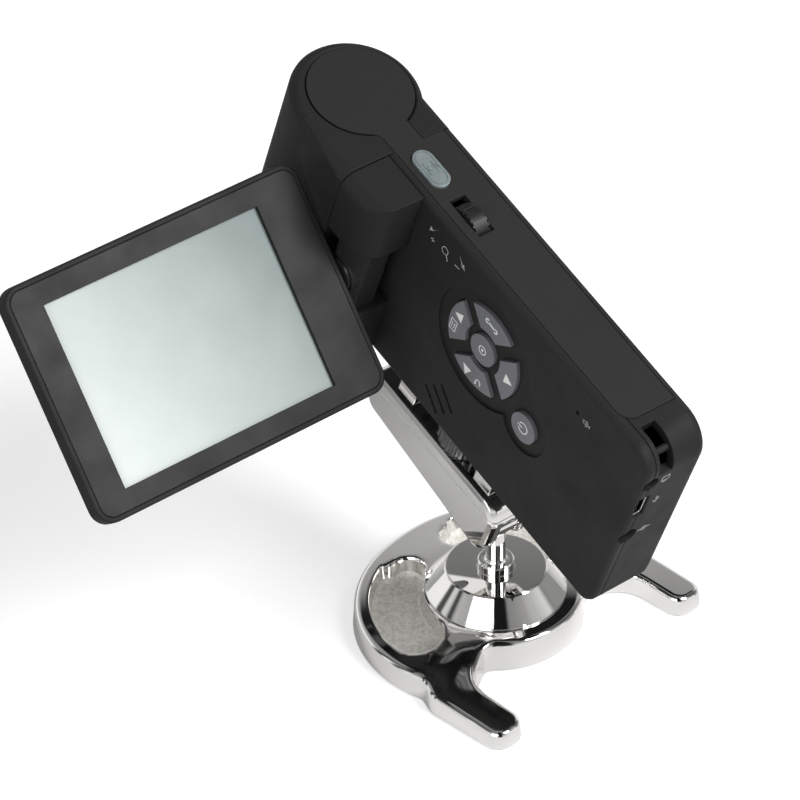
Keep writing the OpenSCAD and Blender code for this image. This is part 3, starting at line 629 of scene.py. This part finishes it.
# %% The outline, from a first rough line of corners
OUTLINE_POINTS = 900
half = np.array([(-33, 0), (-31, 14), (-22, 27), (-8, 35), (2, 36.6), (8, 36), (11, 36.2), (14, 37.6),
                 (31, 37.9), (35, 36), (35.5, 31), (32, 28), (20, 27.9), (17, 26.5), (12.6, 17.6),
                 (17, 13), (21.5, 3)])
first_line = np.vstack([half, (half * (1, -1))[::-1][:-1]])[::-1]
OUTLINE = pulled(outline_distance, spaced(first_line, OUTLINE_POINTS))
OUTLINE = pulled(outline_distance, spaced(OUTLINE, OUTLINE_POINTS))
print("base outline from", OUTLINE.min(0).round(1), "to", OUTLINE.max(0).round(1))

# %% [markdown]
# The two kidney-shaped pockets lie between the collar and the rim. Each is the part of a wedge,
# with a disc at either end to round it, that is inside one circle and outside another.

# %% Distance field of the pockets
WEDGE_FROM, WEDGE_TO = math.radians(99), math.radians(157)
FRONT_END, REAR_END = (-3.4, 25.3, 7.2), (-20.8, 9.4, 4.9)
RIM_WIDTH, COLLAR_R = 4, 17.8
WEDGE_BLEND, ENDS_BLEND, CORNER_BLEND = 1.5, 1.0, 2.0


def pocket_distance(x, y):
    """Distance to the pocket on the side of +y, negative inside: max of (inside the rim's circle,
    outside the collar's circle, in the wedge or in an end disc), with soft corners."""
    wedge = np.maximum(x * math.sin(WEDGE_FROM) - y * math.cos(WEDGE_FROM),
                       y * math.cos(WEDGE_TO) - x * math.sin(WEDGE_TO))
    ends = soft_min(*(np.hypot(x - a, y - b) - r for a, b, r in (FRONT_END, REAR_END)), ENDS_BLEND)
    in_rim = np.hypot(x - LOBE_X, y - LOBE_Y) - LOBE_R + RIM_WIDTH
    between = soft_max(in_rim, COLLAR_R - np.hypot(x, y), CORNER_BLEND)
    return soft_max(soft_min(wedge, ends, WEDGE_BLEND), between, CORNER_BLEND)


# %% The pocket's line, from a first band between two radii
FIRST_FROM, FIRST_TO, FIRST_IN, FIRST_OUT, FIRST_POINTS = 88, 164, 17.5, 31.5, 600
POCKET_POINTS, POCKET_PULLS = 300, 4
sweep = np.radians(np.linspace(FIRST_FROM, FIRST_TO, 200))
around = np.stack([np.cos(sweep), np.sin(sweep)], 1)
POCKET = spaced(np.vstack([FIRST_IN * around[::-1], FIRST_OUT * around]), FIRST_POINTS)
for _ in range(POCKET_PULLS):
    POCKET = spaced(pulled(pocket_distance, POCKET, POCKET_PULLS), POCKET_POINTS)
POCKET = pulled(pocket_distance, POCKET, POCKET_PULLS)
print("pocket from", POCKET.min(0).round(1), "to", POCKET.max(0).round(1))

# %% [markdown]
# The top is level round the stem, falls gently towards the rim and steps down to the legs. In a
# modelling session it would be pulled into shape with proportional editing. A formula of x and y
# gives the height at any point, for the rings and for the net alike.

# %% Height of the top
TOP, DOME_R, DOME_FALL, DOME_SOFT = 9.02, 17, 0.1, 2
LEG_DROP, DROP_X, DROP_Y, DROP_OVER = 0.8, 5, 15, 10


def step(t):
    """0 below 0, 1 above 1, and t * t * (3 - 2 * t) between them."""
    t = np.clip(t, 0, 1)
    return t ** 2 * (3 - 2 * t)


def top_height(x, y):
    """A level middle that falls by a tenth of the radius outside the collar, with a soft start
    log(1 + exp(t)), and a step down to the legs."""
    fall = DOME_FALL * DOME_SOFT * np.log1p(np.exp((np.hypot(x, y) - DOME_R) / DOME_SOFT))
    drop = LEG_DROP * step((x - DROP_X) / DROP_OVER) * step((np.abs(y) - DROP_Y) / DROP_OVER)
    return TOP - fall - drop


print("top falls to", round(float(top_height(-33.0, 0.0)), 2), "mm at the rear")

# %% [markdown]
# The mesh is put together from rings and nets. A ring is the outline moved inwards by an inset;
# between two rings lies a band of quads. Blender's constrained triangulation fills the top and
# the underside, and triangles that fall outside the outline or in a pocket are dropped.

# %% Rings, bands and nets
points, faces, rough_faces = [], [], []


def add_ring(p, z):
    """Stores a closed ring of points and gives their numbers."""
    first = sum(map(len, points))
    points.append(np.column_stack([p, np.broadcast_to(z, len(p))]))
    return first + np.arange(len(p))


def band(a, b, rough=False):
    """Quads between ring a and ring b."""
    quads = np.stack([a, np.roll(a, -1), np.roll(b, -1), b], 1).tolist()
    if rough:
        rough_faces.extend(range(len(faces), len(faces) + len(quads)))
    faces.extend(quads)


# %% The net between closed rings
MERGE, CLEAR = 1e-6, 0.6  # inner points stay this share of the spacing clear of the rings


def net(rings, keep, height, spacing, flip=False, rough=False):
    """Triangles between closed rings, with inner points on a square grid, kept where 'keep' < 0."""
    known = np.concatenate(points)
    rim = np.concatenate(rings)
    low, high = known[rim, :2].min(0), known[rim, :2].max(0)
    lines = [np.arange(low[i], high[i], spacing) for i in (0, 1)]
    grid = np.stack(np.meshgrid(*lines), -1).reshape(-1, 2)
    grid = grid[keep(grid[:, 0], grid[:, 1]) < -CLEAR * spacing]
    edges, start = [], 0
    for r in rings:
        k = start + np.arange(len(r))
        edges += np.stack([k, np.roll(k, -1)], 1).tolist()
        start += len(r)
    flat = np.vstack([known[rim, :2], grid])
    out = delaunay_2d_cdt([Vector(p) for p in flat.tolist()], edges, [], 0, MERGE)
    assert len(out[0]) == len(flat), f"{len(flat)} points became {len(out[0])} in the triangulation"
    tri = np.array(out[2])
    middle = flat[tri].mean(1)
    tri = tri[keep(middle[:, 0], middle[:, 1]) < 0]
    inner = sum(map(len, points)) + np.arange(len(grid))
    points.append(np.column_stack([grid, height(grid[:, 0], grid[:, 1])]))
    tri = np.concatenate([rim, inner])[tri]
    if rough:
        rough_faces.extend(range(len(faces), len(faces) + len(tri)))
    faces.extend((tri[:, ::-1] if flip else tri).tolist())


def level(z):
    """A height function that is z everywhere."""
    return lambda x, y: np.full(len(x), z)


# %% Wall and rounded edge
EDGE, DRAFT, UNDER, SKIRT, FOOT = 1.5, 0.35, 0.3, 0.25, 0.3
SHOULDER = DRAFT + EDGE
INNER_RINGS = (0.3, 0.7, 1.2)
EDGE_RINGS, RING_PULLS = 9, 5
OUT = slope(outline_distance, OUTLINE)
OUT /= np.linalg.norm(OUT, axis=1)[:, None]
bottom = add_ring(OUTLINE - OUT * SKIRT, UNDER)
top_rim = add_ring(OUTLINE, UNDER + FOOT)
band(bottom, top_rim)
for turn in np.radians(np.linspace(0, 90, EDGE_RINGS)):
    p = OUTLINE - OUT * (DRAFT + EDGE * (1 - math.cos(turn)))
    here = add_ring(p, top_height(*p.T) - EDGE * (1 - math.sin(turn)))
    band(top_rim, here)
    top_rim = here
for extra in INNER_RINGS:
    p = pulled(lambda x, y: outline_distance(x, y) + SHOULDER + extra, p, RING_PULLS)
    here = add_ring(p, top_height(*p.T))
    band(top_rim, here)
    top_rim = here
print("wall and edge:", len(faces), "faces")

# %% [markdown]
# A pocket's wall is a stack of rings too. They are level lines of its distance field, so they
# never cross, however tight the corner. The rings start a little outside, which rounds the rim.
# Each line of the table is one ring: how far inside the pocket's line it lies, then its depth
# below the top or else its height over the floor, and whether the band down to it is left rough.

# %% Pockets
POCKET_FLOOR = 3.2
POCKET_STEPS = [(-0.28, 0, None, False), (-0.08, 0.04, None, False), (0.06, 0.2, None, False),
                (0.3, 1.2, None, False), (0.7, None, 1.2, False), (1.0, None, 0.5, True),
                (1.4, None, 0.12, True), (1.9, None, 0.001, True)]
RIM_OUT, FLOOR_IN, POCKET_NET = -POCKET_STEPS[0][0], POCKET_STEPS[-1][0], 1.5
levels = [POCKET]
for inset, _, _, _ in POCKET_STEPS:
    line = pulled(lambda x, y: pocket_distance(x, y) + inset, levels[-1], RING_PULLS)
    levels.append(spaced(line, POCKET_POINTS))
pocket_rims = []
for side in (1, -1):
    above = None
    for line, (_, drop, rise, rough) in zip(levels[1:], POCKET_STEPS):
        line = (line * (1, side))[::side]
        here = add_ring(line, top_height(*line.T) - drop if rise is None else POCKET_FLOOR + rise)
        if above is None:
            pocket_rims.append(here)
        else:
            band(above, here, rough)
        above = here
    net([above], lambda x, y: np.where(y * side > 0, pocket_distance(x, y * side) + FLOOR_IN, 1.0),
        level(POCKET_FLOOR), POCKET_NET, rough=True)
print("with the pockets:", len(faces), "faces,", len(rough_faces), "of them rough")

# %% Top and underside
BORE, BORE_TOP, BORE_POINTS = 5.0, 3.0, 64
TOP_NET, UNDER_NET = 1.1, 3.0


def top_field(x, y):
    """Inside the last ring of the edge and outside the rims of both pockets."""
    return np.maximum(outline_distance(x, y) + SHOULDER + INNER_RINGS[-1],
                      RIM_OUT - pocket_distance(x, np.abs(y)))


def under_field(x, y):
    """Inside the skirt and outside the screw's bore."""
    return np.maximum(outline_distance(x, y) + SKIRT, BORE - np.hypot(x, y))


net([top_rim, *pocket_rims], top_field, top_height, TOP_NET)
bore = add_ring(circle(0, 0, BORE, BORE_POINTS), UNDER)
net([bottom, bore], under_field, level(UNDER), UNDER_NET, flip=True)
bore_top = add_ring(circle(0, 0, BORE, BORE_POINTS), BORE_TOP)
band(bore_top, bore)
faces.append(bore_top[::-1].tolist())
print("all:", len(faces), "faces")

# %% [markdown]
# The lists become one mesh. Shade Smooth lets the light run over the facets as over one surface,
# and edges turned by more than 32 degrees stay crisp. The mesh carries two materials, and each
# face has the number of its own: polished plate outside, plate over rough metal in the pockets.

# %% The base as one piece
SHARP = math.radians(32)
mesh = bpy.data.meshes.new("base_casting")
mesh.from_pydata(in_base(np.vstack(points)).tolist(), [], faces)
mesh.materials.append(CAST_CHROME)
mesh.materials.append(CAST_SILVER)
which = np.zeros(len(mesh.polygons), int)
which[rough_faces] = 1
mesh.polygons.foreach_set("material_index", which)
mesh.shade_smooth()
mesh.set_sharp_from_angle(angle=SHARP)
base_casting = bpy.data.objects.new("base_casting", mesh)
scene.collection.objects.link(base_casting)
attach(base_casting, "base")
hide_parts("stand_base")
print("base casting:", len(mesh.vertices), "points,", len(mesh.polygons), "faces")

# %% [markdown]
# ## Floor and lamps
# The floor is a white sheet. It is lit as paper, so it keeps the shadow, and where the camera looks
# at it some light is added to bring the sheet up to white. In the chrome its colour is painted darker
# with distance, a painted shade, because the lamps only reach a small part of the paper. The large
# lamp stands on the tail's side, so that the shadow falls behind the screen, and a weak one in front
# lights the keypad.

# %% Floor
REACH = 3
corners = [(-REACH, -REACH, 0), (REACH, -REACH, 0), (REACH, REACH, 0), (-REACH, REACH, 0)]
floor_mesh = bpy.data.meshes.new("floor")
floor_mesh.from_pydata(corners, [], [(0, 1, 2, 3)])
floor = bpy.data.objects.new("floor", floor_mesh)
scene.collection.objects.link(floor)
print("floor", 2 * REACH, "m wide")

# %% The paper
FLOOR_TONE, FLOOR_LIFT = 0.62, 0.55
NEAR, FAR, NEAR_TONE, FAR_TONE = 0.07, 0.2, 0.74, 0.5
paper, tree, _ = new_material("paper")
tree.nodes.clear()
rays = node(tree, "LightPath")
away = node(tree, "VectorMath", {0: node(tree, "TexCoord").outputs["Object"]}, operation="LENGTH")
# Seen in the chrome, the paper's colour is painted darker with distance: painted shade.
painted_floor_shade = ranged(tree, away.outputs["Value"], NEAR, FAR, NEAR_TONE, FAR_TONE)
tone = node(tree, "Mix", {"Factor": rays.outputs["Is Glossy Ray"], "A": FLOOR_TONE, "B": painted_floor_shade})
sheet = node(tree, "BsdfDiffuse", {"Color": tone.outputs["Result"]})
added = maths(tree, "MULTIPLY", rays.outputs["Is Camera Ray"], FLOOR_LIFT)
lift = node(tree, "Emission", {"Strength": added})
both = node(tree, "AddShader", {0: sheet.outputs[0], 1: lift.outputs[0]})
node(tree, "OutputMaterial", {"Surface": both.outputs[0]})
floor_mesh.materials.append(paper)
print("paper nodes:", len(tree.nodes))

# %% Lamps


def softbox(name, place, aim, side, watts):
    """A square area lamp that looks at a point."""
    light = bpy.data.lights.new(name, "AREA")
    light.shape = "RECTANGLE"
    light.size = light.size_y = side
    light.energy = watts
    lamp = bpy.data.objects.new(name, light)
    lamp.location = place
    lamp.rotation_euler = (Vector(aim) - Vector(place)).to_track_quat("-Z", "Y").to_euler()
    scene.collection.objects.link(lamp)
    print(name, watts, "W")


softbox("key_light", (0.85, 0.30, 1.0), (0, 0, 0.05), 0.55, 17)
softbox("fill_light", (0.5, -1.15, 0.55), (0, 0, 0.08), 0.9, 7)

# %% [markdown]
# ## Surroundings
# Chrome has no colour of its own: it only shows what stands around it. So the world is a small
# studio, bright near the horizon and grey above, with dark strips at some bearings, and a dark
# panel high up behind the object. The strips are on one Color Ramp over the bearing, counted from
# the front corner. Only mirror-like rays see them; soft light comes from a plain version that
# leans to the side of the key lamp, and the camera sees white. A photographed surround would
# work too, but a ramp can be moved by a degree.

# %% A ramp of greys


def grey_ramp(tree, value, marks):
    """A Color Ramp of greys through the marks (place, level)."""
    made = node(tree, "ValToRGB", {"Fac": value})
    elements = made.color_ramp.elements
    while len(elements) < len(marks):
        elements.new(0.5)
    for element, (place, level) in zip(elements, marks):
        element.position = place
        element.color = (level, level, level, 1)
    return made.outputs["Color"]


# %% World: greys over the height and strips over the bearing
FRONT_BEARING = math.radians(-38.4)
SKY = [(0.0, 0.95), (0.22, 0.95), (0.42, 0.55), (0.62, 0.30), (1.0, 0.26)]
STRIPS = [(-180, 1), (-104, 1), (-100, 0.1), (-94, 0.1), (-90, 1), (-84, 1), (-80, 0.12), (-76, 0.12),
          (-70, 1), (-16, 1), (-10, 0.03), (16, 0.03), (22, 0.75), (52, 0.85), (58, 1), (88, 1),
          (96, 0.3), (126, 0.3), (136, 1), (180, 1)]
PANEL_BEARING = [(0, 1), (0.07, 1), (0.1, 0), (0.88, 0), (0.91, 1), (1, 1)]
PANEL_HEIGHT = [(0, 0), (0.62, 0), (0.66, 1), (0.95, 1), (0.98, 0), (1, 0)]
PANEL_TONE, DIM_SIDE, BRIGHT_SIDE = 0.04, 0.3, 1.2
world = bpy.data.worlds.new("studio")
scene.world = world
world.use_nodes = True
tree = world.node_tree
axes = node(tree, "SeparateXYZ", {"Vector": node(tree, "TexCoord").outputs["Generated"]})
sky = grey_ramp(tree, axes.outputs["Z"], SKY)
bearing = maths(tree, "ARCTAN2", axes.outputs["Y"], axes.outputs["X"])
bearing = maths(tree, "WRAP", maths(tree, "SUBTRACT", bearing, FRONT_BEARING), math.pi, -math.pi)
share = ranged(tree, bearing, -math.pi, math.pi, 0, 1)
strips = grey_ramp(tree, share, [((degrees + 180) / 360, tone) for degrees, tone in STRIPS])
print("strips:", len(STRIPS), "marks")

# %% World: the panel and what each kind of ray sees
panel = maths(tree, "MULTIPLY", grey_ramp(tree, share, PANEL_BEARING),
              grey_ramp(tree, axes.outputs["Z"], PANEL_HEIGHT))
shaded = mixed(tree, 1, strips, ranged(tree, panel, 0, 1, 1, PANEL_TONE), "MULTIPLY")
mirror_view = mixed(tree, 1, sky, shaded, "MULTIPLY")
lean = ranged(tree, axes.outputs["X"], -1, 1, DIM_SIDE, BRIGHT_SIDE)
soft_view = mixed(tree, 1, sky, lean, "MULTIPLY")
rays = node(tree, "LightPath")
around_it = mixed(tree, rays.outputs["Is Glossy Ray"], soft_view, mirror_view)
seen = mixed(tree, rays.outputs["Is Camera Ray"], around_it, (1, 1, 1, 1))
feed(tree, tree.nodes["Background"].inputs["Color"], seen)
print("world nodes:", len(tree.nodes))

# %% [markdown]
# ## Camera
# The camera looks down on the front corner from about 37 degrees, far enough away that the slab's
# long edges stay nearly parallel. Its three axes are written out, because it is also rolled.

# %% Camera
PLACE, VIEW_ANGLE = (0.60518, -0.50797, 0.66650), math.radians(10.838)
RIGHT = (0.62973, 0.77667, -0.01509)
UP = (-0.46247, 0.39044, 0.79604)
BACK = (0.62415, -0.49431, 0.60505)
camera = bpy.data.objects.new("camera", bpy.data.cameras.new("camera"))
camera.data.sensor_fit = "HORIZONTAL"
camera.data.angle = VIEW_ANGLE
camera.data.clip_start, camera.data.clip_end = 0.05, 20
camera.matrix_world = Matrix([*zip(RIGHT, UP, BACK, PLACE), (0, 0, 0, 1)])
scene.collection.objects.link(camera)
scene.camera = camera
scene.view_settings.view_transform = "Standard"
print("camera", round(Vector(PLACE).length, 3), "m from the stem")
